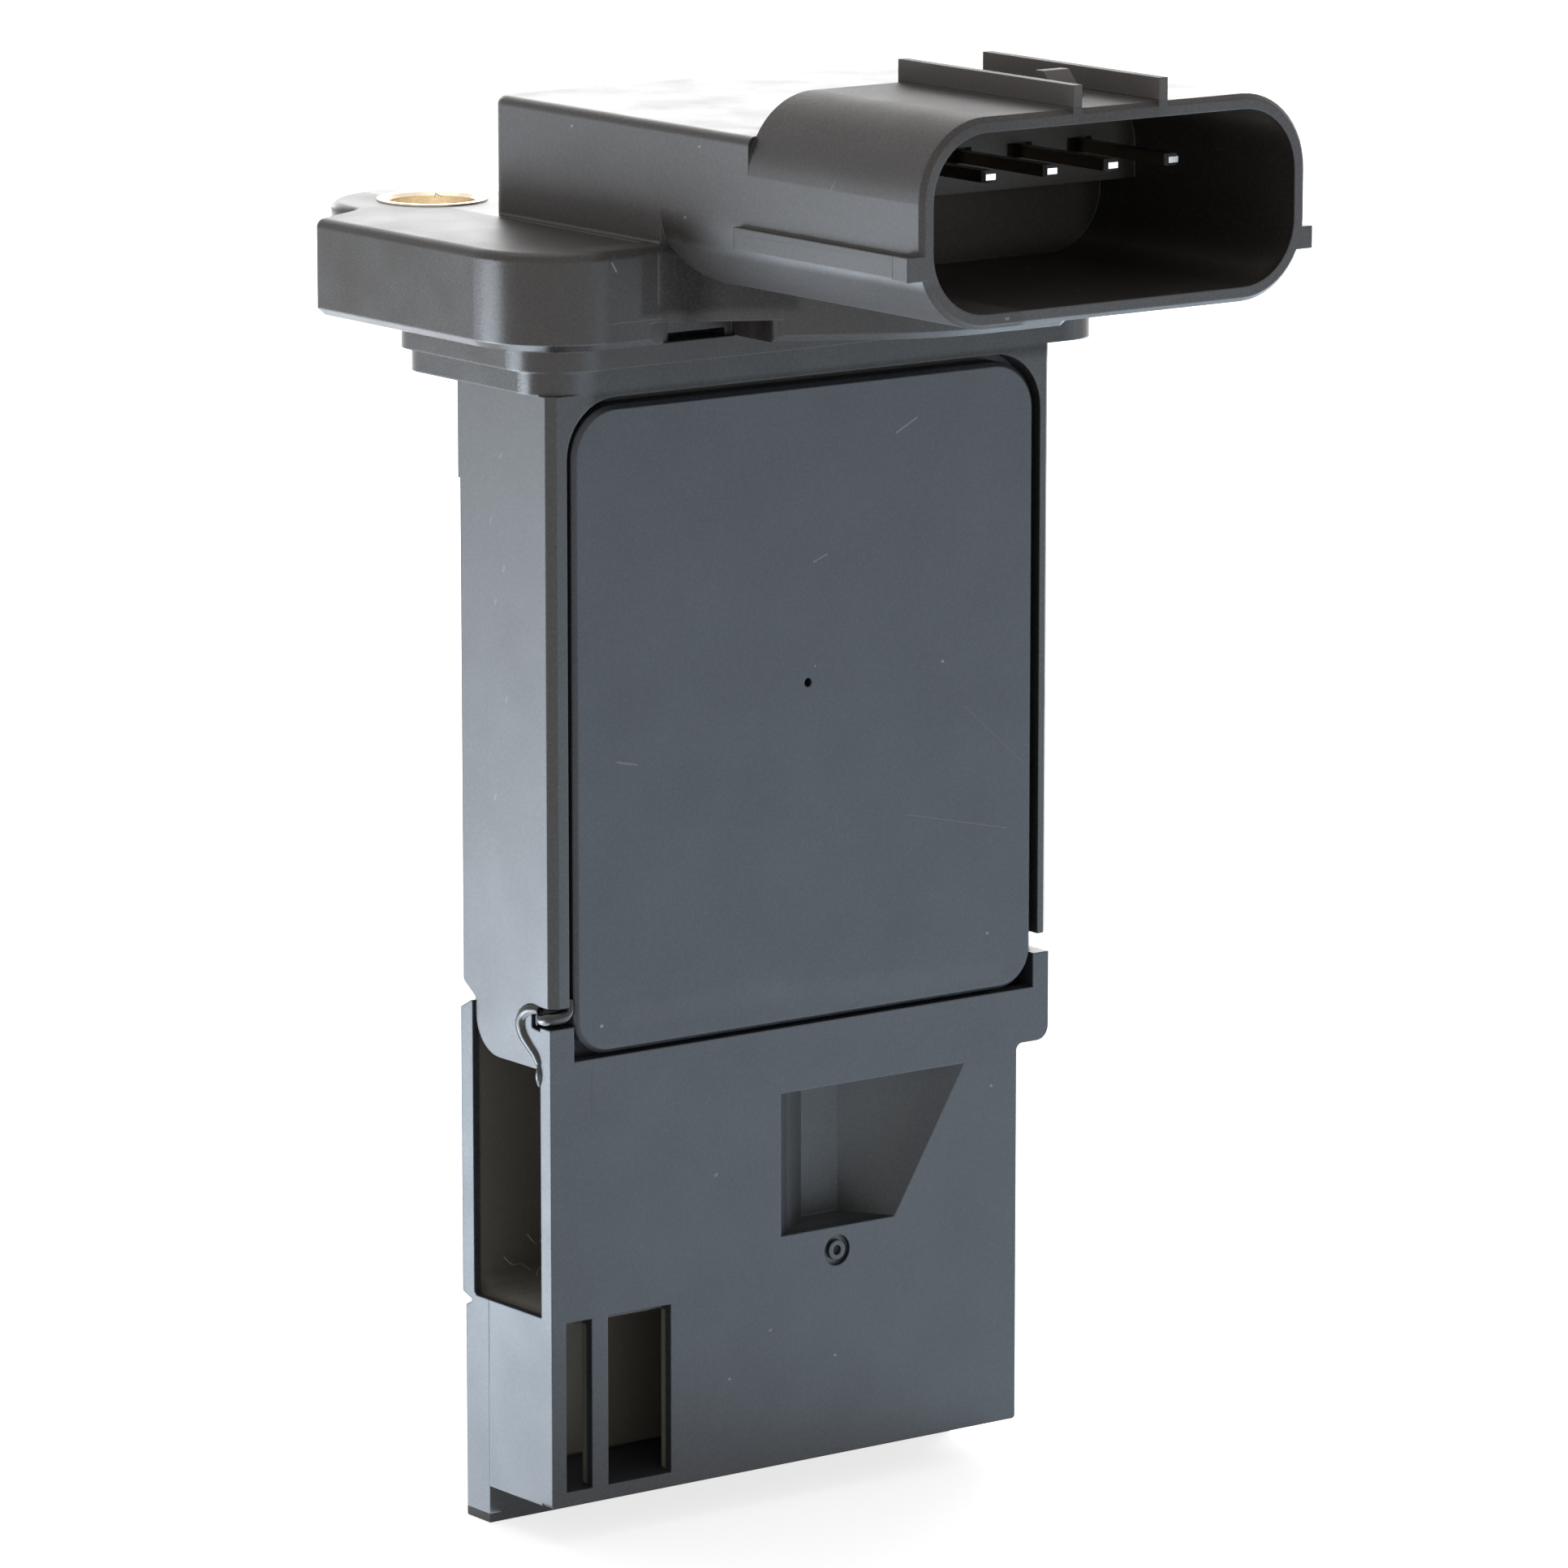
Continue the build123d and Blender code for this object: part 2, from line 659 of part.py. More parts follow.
with BuildPart() as bypass_back_plate:
    with BuildSketch(Plane.YZ.offset(shell_left)):
        outline(
            (shell_back, shell_bottom - plate_hang), (shell_back, split_top), (plate_front, split_top),
            (plate_front, plate_top), (plate_back, plate_top - plate_top_slope),
            (plate_back, split_top), (plate_back - plate_notch_depth, split_top - plate_notch_height),
            (plate_low_back, split_top - 2 * plate_notch_height),
            (plate_low_back, shell_bottom - plate_hang),
            radius=[0, 0, plate_root, *[plate_round] * 6],
        )
    extrude(amount=shell_right - shell_left)
    with BuildSketch(Plane.XZ.offset(-plate_front)):
        rect(shell_right - 1, shoulder_right, shoulder_bottom, plate_top - plate_top_slope)
    extrude(amount=plate_front - plate_back)
    # Closing ribs that meet the shell's right wall and shoulder
    with BuildSketch(Plane.XZ.offset(-shell_back)):
        rect(shell_right - shell_wall, shell_right, split_top - 1, shoulder_bottom + shell_wall)
        rect(
            shell_right - shell_wall, shoulder_right, shoulder_bottom,
            shoulder_bottom + shell_wall,
        )
        rect(right_lug[0], right_lug[1], shoulder_bottom, lug_top)
    extrude(amount=shell_back - plate_front)
bypass_back_plate.part.label = "bypass_back_plate"

terminals = {}
for index in range(terminal_count):
    with BuildPart() as terminal:
        with BuildSketch(Plane.YZ.offset(terminal_x(index) - terminal_size / 2)):
            terminal_side()
        extrude(amount=terminal_size)
    terminal.part.label = f"terminal_{index + 1}"
    terminals[terminal.part.label] = terminal.part

with BuildPart() as base_plate:
    with BuildSketch(Plane.XZ.offset(-floor_y)):
        rect(
            board_left - base_margin, board_right + base_margin,
            board_bottom - base_margin, board_top,
        )
        fillet(vertices(), chamber_corner / 2)
    extrude(amount=base_thick)
base_plate.part.label = "base_plate"

with BuildPart() as circuit_board:
    with BuildSketch(Plane.XZ.offset(-board_front)):
        rect(board_left, board_right, board_bottom, board_top - base_margin)
    extrude(amount=-board_thick)
circuit_board.part.label = "circuit_board"

# Chips on the board, each placed from the board's left and bottom
chips = {}
chip_list = [("control_chip", control_chip_place, control_chip_size)]
chip_list += [(f"capacitor_{n}", place, capacitor_size) for n, place in enumerate(capacitor_places, 1)]
chip_list += [(f"resistor_{n}", place, resistor_size) for n, place in enumerate(resistor_places, 1)]
for name, place, size in chip_list:
    with BuildPart() as chip:
        with BuildSketch(Plane.XZ.offset(-board_front)):
            with Locations((board_left + place[0], board_bottom + place[1])):
                Rectangle(size[0], size[1])
        extrude(amount=size[2])
        chamfer(chip.faces().sort_by(Axis.Y)[0].edges(), size[2] / 8)
    chip.part.label = name
    chips[name] = chip.part


def ribbon_side(start_y, start_z, end_y, end_z):
    """Side view of a ribbon link that lies on two faces and arches over the gap between them."""
    top = min(start_y, end_y) - ribbon_arch
    step = 1 if end_z > start_z else -1
    near_heel = start_z + step * ribbon_foot
    far_heel = end_z - step * ribbon_foot
    near_bend = near_heel + step * ribbon_rise
    far_bend = far_heel - step * ribbon_rise
    outline(
        (start_y, start_z), (start_y, near_heel),
        (top + ribbon_thick, near_bend), (top + ribbon_thick, far_bend),
        (end_y, far_heel), (end_y, end_z), (end_y - ribbon_thick, end_z),
        (end_y - ribbon_thick, far_heel + step * ribbon_rise / 2), (top, far_bend), (top, near_bend),
        (start_y - ribbon_thick, near_heel - step * ribbon_rise / 2), (start_y - ribbon_thick, start_z),
    )


with BuildPart() as terminal_wires:
    for index in range(terminal_count):
        with BuildSketch(Plane.YZ.offset(terminal_x(index) - ribbon_width / 2)):
            ribbon_side(
                shelf_y - terminal_size, terminal_low + 1.2 * ribbon_foot,
                board_front, board_top - base_margin - 1.5 * ribbon_foot,
            )
        extrude(amount=ribbon_width)
terminal_wires.part.label = "terminal_wires"

with BuildPart() as sensor_carrier:
    with BuildSketch(Plane.XZ.offset(-carrier_front)):
        rect(
            carrier_mid - carrier_width / 2, carrier_mid + carrier_width / 2,
            carrier_bottom, carrier_shelf_top,
        )
        fillet(vertices().group_by(Axis.Y)[0], carrier_corner)
    extrude(amount=-carrier_thick)
sensor_carrier.part.label = "sensor_carrier"

with BuildPart() as flow_chip:
    with BuildSketch(Plane.XZ.offset(-carrier_front)):
        with Locations((carrier_mid, carrier_bottom + chip_rise)):
            Rectangle(chip_size, chip_size)
    extrude(amount=chip_thick)
flow_chip.part.label = "flow_chip"

with BuildPart() as chip_bead:
    with BuildSketch(Plane.XZ.offset(-carrier_front)):
        with Locations((carrier_mid, carrier_bottom + chip_rise + (chip_size + chip_bead_size[1]) / 2)):
            RectangleRounded(chip_bead_size[0], chip_bead_size[1], chip_bead_size[1] / 3)
    extrude(amount=chip_bead_size[2])
    chamfer(chip_bead.faces().sort_by(Axis.Y)[0].edges(), chip_bead_size[2] / 2)
chip_bead.part.label = "chip_bead"

with BuildPart() as carrier_wires:
    for index in range(carrier_link_count):
        place = carrier_mid + (index - (carrier_link_count - 1) / 2) * carrier_link_pitch
        with BuildSketch(Plane.YZ.offset(place - ribbon_width / 2)):
            ribbon_side(
                carrier_front, carrier_shelf_top - 1.5 * ribbon_foot,
                board_front, board_bottom + 1.5 * ribbon_foot,
            )
        extrude(amount=ribbon_width)
carrier_wires.part.label = "carrier_wires"

with BuildPart() as thermistor_bead:
    with BuildSketch(Plane.XY.offset(shell_bottom + thermistor_low)):
        with Locations((thermistor_mid, lead_y)):
            Circle(thermistor_size / 2)
    extrude(amount=thermistor_length)
    chamfer(thermistor_bead.edges().sort_by(Axis.Z)[0], thermistor_size / 4)
thermistor_bead.part.label = "thermistor_bead"

lead_low = shell_bottom + thermistor_low + thermistor_length
with BuildPart() as thermistor_leads:
    with BuildSketch(Plane.XY.offset(lead_low)):
        with Locations((thermistor_mid, lead_y)), GridLocations(lead_pitch, 1, 2, 1):
            Circle(lead_size / 2)
    extrude(amount=board_bottom + lead_overlap - lead_low)
thermistor_leads.part.label = "thermistor_leads"

os.makedirs("parts", exist_ok=True)
pieces = [
    housing.part, cover_plate.part, cover_sealant.part, *bushes.values(), bypass_shell.part,
    bypass_back_plate.part, *terminals.values(), base_plate.part, circuit_board.part,
    *chips.values(), terminal_wires.part, sensor_carrier.part, flow_chip.part, chip_bead.part,
    carrier_wires.part, thermistor_bead.part, thermistor_leads.part,
]
for piece in pieces:
    export_step(piece, f"parts/{piece.label}.step")
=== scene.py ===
"""Studio view of a plug-in mass airflow sensor, finished piece by piece as it is put together."""
import math

import bpy
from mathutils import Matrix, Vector


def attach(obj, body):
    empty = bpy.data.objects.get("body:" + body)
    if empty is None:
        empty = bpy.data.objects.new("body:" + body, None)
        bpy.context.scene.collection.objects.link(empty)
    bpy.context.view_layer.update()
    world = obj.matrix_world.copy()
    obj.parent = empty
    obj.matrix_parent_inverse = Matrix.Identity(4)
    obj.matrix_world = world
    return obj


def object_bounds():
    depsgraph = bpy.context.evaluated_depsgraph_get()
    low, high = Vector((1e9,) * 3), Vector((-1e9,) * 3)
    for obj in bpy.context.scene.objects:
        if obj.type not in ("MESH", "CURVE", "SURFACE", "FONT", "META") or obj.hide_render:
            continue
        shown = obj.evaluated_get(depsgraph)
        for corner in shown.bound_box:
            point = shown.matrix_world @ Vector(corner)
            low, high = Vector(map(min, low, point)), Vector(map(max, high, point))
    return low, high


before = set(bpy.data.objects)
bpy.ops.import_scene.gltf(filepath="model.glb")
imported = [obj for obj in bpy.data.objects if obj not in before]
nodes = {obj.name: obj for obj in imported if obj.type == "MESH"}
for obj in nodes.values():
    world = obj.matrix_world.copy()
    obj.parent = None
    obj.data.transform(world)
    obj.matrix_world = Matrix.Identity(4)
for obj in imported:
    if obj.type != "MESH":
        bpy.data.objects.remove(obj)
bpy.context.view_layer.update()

# Housing
# One glass-filled black moulding: flow body, plug, screw flange, terminal block and hood.
# Its tool leaves a satin skin with faint flow marks, and rounded edges that catch the light. Some faces carry
# painted shade and painted light.
mm = 0.001


def add_node(tree, kind, **settings):
    """A node with its settings; names that are sockets take values or links."""
    node = tree.nodes.new(kind)
    sockets = settings.pop("sockets", {})
    for name, value in settings.items():
        setattr(node, name, value)
    for name, value in sockets.items():
        socket = node.inputs[name]
        if isinstance(value, bpy.types.NodeSocket):
            tree.links.new(value, socket)
        else:
            socket.default_value = value
    return node


def math_node(tree, operation, *values, clamp=False):
    """The output of one Math node."""
    return add_node(
        tree, "ShaderNodeMath", operation=operation, use_clamp=clamp, sockets=dict(enumerate(values)),
    ).outputs[0]


def vector_node(tree, operation, *values, output=0):
    """The output of one Vector Math node."""
    return add_node(
        tree, "ShaderNodeVectorMath", operation=operation, sockets=dict(enumerate(values)),
    ).outputs[output]


def mix_colour(tree, factor, low, high, blend="MIX"):
    """The colour output of one Mix node."""
    return add_node(
        tree, "ShaderNodeMix", data_type="RGBA", blend_type=blend, sockets={0: factor, 6: low, 7: high},
    ).outputs[2]


def ramp(tree, value, low, high, start=0.0, end=1.0):
    """A value carried from one range smoothly into another."""
    return add_node(
        tree, "ShaderNodeMapRange", interpolation_type="SMOOTHSTEP",
        sockets={0: value, 1: low, 2: high, 3: start, 4: end},
    ).outputs[0]


def noise(tree, place, scale, detail=2.0, roughness=0.5):
    """The value of one Noise texture, centred on 0.5."""
    return add_node(
        tree, "ShaderNodeTexNoise",
        sockets={"Vector": place, "Scale": scale, "Detail": detail, "Roughness": roughness},
    ).outputs[0]


def start_group(name, inputs, outputs):
    """An empty shader group with float and vector sockets."""
    tree = bpy.data.node_groups.new(name, "ShaderNodeTree")
    kinds = {"f": "NodeSocketFloat", "v": "NodeSocketVector"}
    for label, kind in inputs:
        tree.interface.new_socket(label, in_out="INPUT", socket_type=kinds[kind])
    for label, kind in outputs:
        tree.interface.new_socket(label, in_out="OUTPUT", socket_type=kinds[kind])
    return tree, tree.nodes.new("NodeGroupInput").outputs, tree.nodes.new("NodeGroupOutput").inputs


def place_in_mm(tree):
    """The point on the surface, in millimetres in the part's own frame."""
    here = add_node(tree, "ShaderNodeTexCoord").outputs["Object"]
    return vector_node(tree, "MULTIPLY", here, (1 / mm, 1 / mm, 1 / mm))


def skin_group():
    """Moulded skin: fine speckle, slow clouds in gloss and a rounded-edge normal."""
    flat_turn, sharp_turn = 0.995, 0.8
    tree, given, result = start_group(
        "moulded_skin", [("Grain", "f"), ("Cloud", "f"), ("Relief", "f"), ("Edge", "f")],
        [("Speckle", "f"), ("Cloud", "f"), ("Edge", "f"), ("Normal", "v")],
    )
    place = place_in_mm(tree)
    fine = noise(tree, place, given["Grain"], detail=3.0, roughness=0.6)
    slow = noise(tree, place, given["Cloud"], detail=2.0)
    rounded = add_node(tree, "ShaderNodeBevel", samples=6, sockets={"Radius": given["Edge"]}).outputs[0]
    flat = add_node(tree, "ShaderNodeNewGeometry").outputs["Normal"]
    turned = vector_node(tree, "DOT_PRODUCT", rounded, flat, output=1)
    bump = add_node(
        tree, "ShaderNodeBump",
        sockets={"Strength": 1.0, "Distance": given["Relief"], "Height": fine, "Normal": rounded},
    ).outputs[0]
    tree.links.new(fine, result["Speckle"])
    tree.links.new(slow, result["Cloud"])
    tree.links.new(ramp(tree, turned, flat_turn, sharp_turn), result["Edge"])
    tree.links.new(bump, result["Normal"])
    return tree


def dust_group():
    """Loose pale specks: a few of the cells of a fine Voronoi pattern carry one."""
    tree, given, result = start_group(
        "dust_specks", [("Cell", "f"), ("Share", "f"), ("Size", "f")], [("Mask", "f")],
    )
    place = vector_node(tree, "DIVIDE", place_in_mm(tree), given["Cell"])
    cells = add_node(tree, "ShaderNodeTexVoronoi", sockets={"Vector": place, "Scale": 1.0})
    chance = add_node(tree, "ShaderNodeSeparateColor", sockets={0: cells.outputs["Color"]})
    kept = math_node(tree, "LESS_THAN", chance.outputs[0], given["Share"])
    size = math_node(tree, "MULTIPLY", chance.outputs[1], given["Size"])
    reach = math_node(tree, "DIVIDE", size, given["Cell"])
    near = math_node(tree, "LESS_THAN", cells.outputs["Distance"], reach)
    tree.links.new(math_node(tree, "MULTIPLY", kept, near), result["Mask"])
    return tree


def stroke_group():
    """One rubbed or scratched stroke between two points, in millimetres, with a ragged edge."""
    wobble_scale = 4.0
    outer, inner = 1.0, 0.2
    tree, given, result = start_group(
        "stroke", [("From", "v"), ("To", "v"), ("Width", "f"), ("Ragged", "f")], [("Mask", "f")],
    )
    place = place_in_mm(tree)
    along = vector_node(tree, "SUBTRACT", given["To"], given["From"])
    offset = vector_node(tree, "SUBTRACT", place, given["From"])
    share = math_node(
        tree, "DIVIDE", vector_node(tree, "DOT_PRODUCT", offset, along, output=1),
        vector_node(tree, "DOT_PRODUCT", along, along, output=1), clamp=True,
    )
    nearest = add_node(
        tree, "ShaderNodeVectorMath", operation="SCALE", sockets={0: along, "Scale": share},
    ).outputs[0]
    gap = vector_node(tree, "LENGTH", vector_node(tree, "SUBTRACT", offset, nearest), output=1)
    wobble = math_node(tree, "MULTIPLY", noise(tree, place, wobble_scale, detail=3.0), given["Ragged"])
    half_wobble = math_node(tree, "MULTIPLY", given["Ragged"], 0.5)
    reach = math_node(tree, "SUBTRACT", math_node(tree, "ADD", gap, wobble), half_wobble)
    tree.links.new(ramp(tree, math_node(tree, "DIVIDE", reach, given["Width"]), outer, inner), result["Mask"])
    return tree


def zone_group():
    """A box with soft edges, in millimetres: 1 inside, 0 beyond the edge."""
    tree, given, result = start_group(
        "box_zone", [("Centre", "v"), ("Half", "v"), ("Soft", "f")], [("Mask", "f")],
    )
    offset = vector_node(tree, "ABSOLUTE", vector_node(tree, "SUBTRACT", place_in_mm(tree), given["Centre"]))
    past = vector_node(tree, "SUBTRACT", offset, given["Half"])
    gap = add_node(tree, "ShaderNodeSeparateXYZ", sockets={0: past}).outputs
    widest = math_node(tree, "MAXIMUM", math_node(tree, "MAXIMUM", gap[0], gap[1]), gap[2])
    tree.links.new(ramp(tree, math_node(tree, "DIVIDE", widest, given["Soft"]), 1.0, 0.0), result["Mask"])
    return tree


skin = skin_group()
dust = dust_group()
stroke = stroke_group()
zone = zone_group()


def zone_mask(tree, corner, far_corner, soft):
    """The mask of one zone between two corners, in millimetres."""
    area = add_node(tree, "ShaderNodeGroup", node_tree=zone)
    area.inputs["Centre"].default_value = [(a + b) / 2 for a, b in zip(corner, far_corner)]
    area.inputs["Half"].default_value = [abs(b - a) / 2 for a, b in zip(corner, far_corner)]
    area.inputs["Soft"].default_value = soft
    return area.outputs[0]


def moulded_plastic(
    name, colour, pale, roughness, grain=6.0, relief=0.004, dust_share=0.01, strokes=(), zones=(),
):
    """Moulded plastic with fine grain, edges painted paler as wear and as a painted highlight, dust, marks,
    painted highlights and shadow lines, and places of another finish or of painted light and shade.

    Strokes are (from, to, width, ragged, strength), pale above 0 and dark below.
    Zones are (low corner, high corner, soft edge, added roughness, added colour); in some zones the added
    colour is painted light or painted shade.
    """
    cloud_scale, edge_radius, edge_paleness, gloss_span = 0.25, 0.12, 0.25, 0.16
    dust_cell, dust_size, dust_colour = 1.1, 0.08, (0.55, 0.54, 0.5, 1)
    pale_mark, dark_mark = (0.5, 0.5, 0.48, 1), (0.004, 0.004, 0.004, 1)
    material = bpy.data.materials.new(name)
    material.use_nodes = True
    tree = material.node_tree
    surface = tree.nodes["Principled BSDF"]
    surface.inputs["IOR"].default_value = 1.54
    face = add_node(tree, "ShaderNodeGroup", node_tree=skin)
    face.inputs["Grain"].default_value = grain
    face.inputs["Cloud"].default_value = cloud_scale
    face.inputs["Relief"].default_value = relief * mm
    face.inputs["Edge"].default_value = edge_radius * mm
    speck = add_node(tree, "ShaderNodeGroup", node_tree=dust)
    speck.inputs["Cell"].default_value = dust_cell
    speck.inputs["Share"].default_value = dust_share
    speck.inputs["Size"].default_value = dust_size
    tone = ramp(tree, face.outputs["Speckle"], 0.35, 0.75)
    paint = mix_colour(tree, tone, (*colour, 1), (*pale, 1))
    rough = math_node(tree, "MULTIPLY_ADD", face.outputs["Cloud"], gloss_span, roughness - gloss_span / 2)
    for corner, far_corner, soft, rougher, added in zones:
        mask = zone_mask(tree, corner, far_corner, soft)
        rough = math_node(tree, "MULTIPLY_ADD", mask, rougher, rough)
        # In some zones this added colour is painted light or painted shade.
        if added:
            paint = mix_colour(tree, mask, paint, (*added, 1), blend="ADD")
    for start, end, width, ragged, strength in strokes:
        mark = add_node(tree, "ShaderNodeGroup", node_tree=stroke)
        mark.inputs["From"].default_value = start
        mark.inputs["To"].default_value = end
        mark.inputs["Width"].default_value = width
        mark.inputs["Ragged"].default_value = ragged
        amount = math_node(tree, "MULTIPLY", mark.outputs[0], abs(strength))
        paint = mix_colour(tree, amount, paint, pale_mark if strength > 0 else dark_mark)
    # Painted highlight and wear: the rounded edges are painted paler.
    edge_highlight_and_wear = math_node(tree, "MULTIPLY", face.outputs["Edge"], edge_paleness)
    paint = mix_colour(tree, edge_highlight_and_wear, paint, (*pale, 1))
    paint = mix_colour(tree, speck.outputs[0], paint, dust_colour)
    tree.links.new(paint, surface.inputs["Base Color"])
    tree.links.new(rough, surface.inputs["Roughness"])
    tree.links.new(face.outputs["Normal"], surface.inputs["Normal"])
    return material


def dress(material, *names):
    """Gives pieces their finish."""
    for name in names:
        piece = nodes[name]
        piece.data.materials.clear()
        piece.data.materials.append(material)


front, side_x = -7.05, -18.79
flange_y = front - 1.1
rim_y = front - 24
block_x = side_x + 6.55
key_x = block_x - 0.45
body_nicks = (
    (-1.53, -9.64), (-1.94, -14.02), (-2.73, -12.13), (-1.81, -24.77), (-2.95, -19.22), (-2.5, -5.97),
)
block_nicks = ((-0.03, 11.06), (-11.74, 11.1), (-10.4, 7.18), (-12.74, 5.48))
rim_specks = ((-6.71, rim_y, 3.64), (-11.34, rim_y, 10.48))
socket_specks = (
    (4.55, -18.39, 3.97), (3.45, -15.98, 3.97), (-7.04, -27.01, 3.97), (1.3, -26.84, 3.97),
    (5.09, -30.44, 3.97),
)
housing_marks_and_painted_light = [
    ((side_x, -1.0, -2.4), (side_x, -1.02, -36.7), 0.09, 0.08, -0.3),
    ((-15.42, flange_y, 4.71), (-15.16, flange_y, 4.25), 0.09, 0.05, 0.6),
    ((-12.38, flange_y, 5.6), (-12.38, flange_y, 2.3), 0.12, 0.08, 0.16),
    ((-20.2, flange_y, 1.45), (-8.6, flange_y, 1.45), 0.07, 0.04, 0.12),
    # Painted highlight: a pale line along the block's foot, where it meets the flange.
    ((block_x, 7.0, 5.55), (block_x, -8.0, 5.55), 0.12, 0.1, 0.35),
    ((block_x, -19.2, 12.05), (block_x, -19.2, 11.44), 0.07, 0.05, 0.35),
    ((block_x, -23.85, 10.77), (block_x, -23.29, 9.95), 0.06, 0.04, 0.3),
    # Painted shadow line and mould streak: dark strokes along the key rib's top edge.
    ((key_x, -16.4, 6.85), (key_x, -27.2, 6.95), 0.07, 0.12, -0.9),
    ((key_x, -17.5, 7.3), (key_x, -29.6, 7.25), 0.06, 0.12, -0.8),
    ((key_x, -20.5, 7.05), (key_x, -30.4, 7.0), 0.05, 0.1, -0.8),
    ((key_x, -16.2, 7.55), (key_x, -22.0, 7.6), 0.05, 0.1, 0.3),
]
housing_marks_and_painted_light += [((side_x, y, z), (side_x, y + 0.1, z - 0.2), 0.14, 0.2, 0.2) for y, z in body_nicks]
housing_marks_and_painted_light += [((block_x, y, z), (block_x, y + 0.12, z - 0.05), 0.1, 0.08, 0.6) for y, z in block_nicks]
housing_marks_and_painted_light += [((x, y, z), (x + 0.18, y, z), 0.12, 0.1, 0.5) for x, y, z in rim_specks + socket_specks]
flange_zone = ((-30, -8.5, -2.2), (30, 25, 4.9), 0.4, -0.18, None)
flange_top_zone = ((-30, -8.5, 5.3), (-12.4, 25, 5.6), 0.2, 0.06, None)
# Painted shade: the fronts of the flange, land and plug under the hood are painted darker, and made rougher.
flange_front_shade_zone = ((-15.4, -8.7, -2.4), (16, -6.9, 5.2), 1.2, 0.36, (-0.018, -0.018, -0.018))
# Painted shade: the web's front under the hood is painted darker, and made rougher.
web_front_shade_zone = ((-13, -30.6, 2.2), (-6, -8.5, 5.2), 0.8, 0.35, (-0.018, -0.018, -0.018))
# Painted shade: the terminal block's left side is painted darker.
block_side_shade_zone = ((-12.6, -9, 5.8), (-11.9, 12, 15.4), 0.3, 0.0, (-0.016, -0.015, -0.013))
warm_upper_zone = ((-30, -32, -1), (30, 25, 20), 0.5, 0.0, (0.007, 0.002, -0.004))
# Painted light: the guide ribs are painted paler, standing in for the light they reflect, and made rougher.
guide_rib_painted_light_zone = ((-6, -32, 14.4), (10, -14, 19), 0.1, 0.2, (0.11, 0.102, 0.095))
hood_round_zone = ((-14, -31.5, 13.2), (3, -16.2, 14.35), 1.5, 0.2, None)
# Painted light: the inside of the socket is painted paler, as if lit.
socket_painted_light_zone = ((-8.8, -29.5, 5.3), (10.8, -14, 11.9), 1.7, 0.1, (0.085, 0.078, 0.064))
# Painted light: the socket's base is painted a paler bluish grey, as if lit.
socket_base_painted_light_zone = ((-8.8, -21.5, 9.0), (10.8, -14, 11.2), 1.5, 0.0, (0.06, 0.065, 0.07))
housing_skin = moulded_plastic(
    "housing_satin", colour=(0.019, 0.0178, 0.0165), pale=(0.045, 0.045, 0.045), roughness=0.42,
    strokes=housing_marks_and_painted_light,
    zones=(
        flange_zone, flange_top_zone, flange_front_shade_zone, web_front_shade_zone, block_side_shade_zone, warm_upper_zone,
        guide_rib_painted_light_zone, hood_round_zone, socket_painted_light_zone, socket_base_painted_light_zone,
    ),
)
dress(housing_skin, "housing")

# Cover plate
# A flat plate glued over the circuit chamber, moulded in a bluer grade of the same plastic.
# It carries light handling marks, a few specks and a faint smear along its lower edge.
cover_marks = [
    ((x0, front, z0), (x1, front, z1), width, ragged, strength)
    for x0, z0, x1, z1, width, ragged, strength in (
        (4.5, -6.4, 5.85, -5.72, 0.08, 0.05, 0.45),
        (-1.22, -13.04, -0.28, -12.69, 0.05, 0.03, 0.5),
        (5.23, -27.9, 12.2, -29.48, 0.06, 0.03, 0.14),
        (9.3, -22.23, 13.44, -25.93, 0.08, 0.03, 0.07),
        (-14.41, -22.66, -13.12, -22.95, 0.09, 0.05, 0.28),
        (7.7, -19.53, 7.75, -19.53, 0.11, 0.04, 0.9),
        (10.9, -35.35, 10.95, -35.35, 0.1, 0.04, 0.8),
        (-15.57, -37.11, -15.5, -37.11, 0.12, 0.05, 0.9),
        (-13.6, -1.48, -13.55, -1.48, 0.1, 0.04, 0.7),
        (-13.5, -36.9, -3.62, -36.6, 1.1, 0.9, 0.035),
        (-3.62, -36.9, 11.37, -37.6, 1.0, 0.9, 0.035),
        (0.29, -38.43, 1.98, -38.2, 0.25, 0.25, -0.6),
    )
]
cover_skin = moulded_plastic(
    "cover_satin", colour=(0.023, 0.026, 0.032), pale=(0.046, 0.052, 0.063), roughness=0.44, grain=7.0,
    strokes=cover_marks,
)
dress(cover_skin, "cover_plate")

# Bypass shell and its back plate
# Two mouldings clipped and glued under the body, in the same bluer plastic.
# Air enters at the side window and turns back on itself to the slots. The walls inside the window and the
# slots are painted paler, as painted light.
bypass_marks = [
    ((x0, front, z0), (x1, front, z1), width, 0.05, strength)
    for x0, z0, x1, z1, width, strength in (
        (-16.18, -39.3, -16.25, -42.2, 0.09, -0.85),
        (-7.91, -46.56, -7.8, -46.5, 0.12, 0.4),
        (11.24, -44.16, 11.3, -44.16, 0.1, 0.8),
        (7.67, -42.82, 7.75, -42.8, 0.1, 0.7),
        (0.3, -58.05, 0.36, -58.05, 0.1, 0.8),
        (-6.99, -58.28, -6.93, -58.25, 0.1, 0.7),
        (-4.2, -55.94, -4.1, -55.9, 0.1, 0.6),
    )
]
# Painted light: the walls inside the side window are painted paler.
inlet_painted_light_zone = ((-18.4, -6.0, -53.6), (-6, 0.8, -38.6), 0.2, 0.1, (0.15, 0.13, 0.096))
inlet_floor_zone = ((-17.6, -5.2, -54.2), (-6, 0.1, -52.9), 0.9, 0.2, (0.14, 0.135, 0.12))
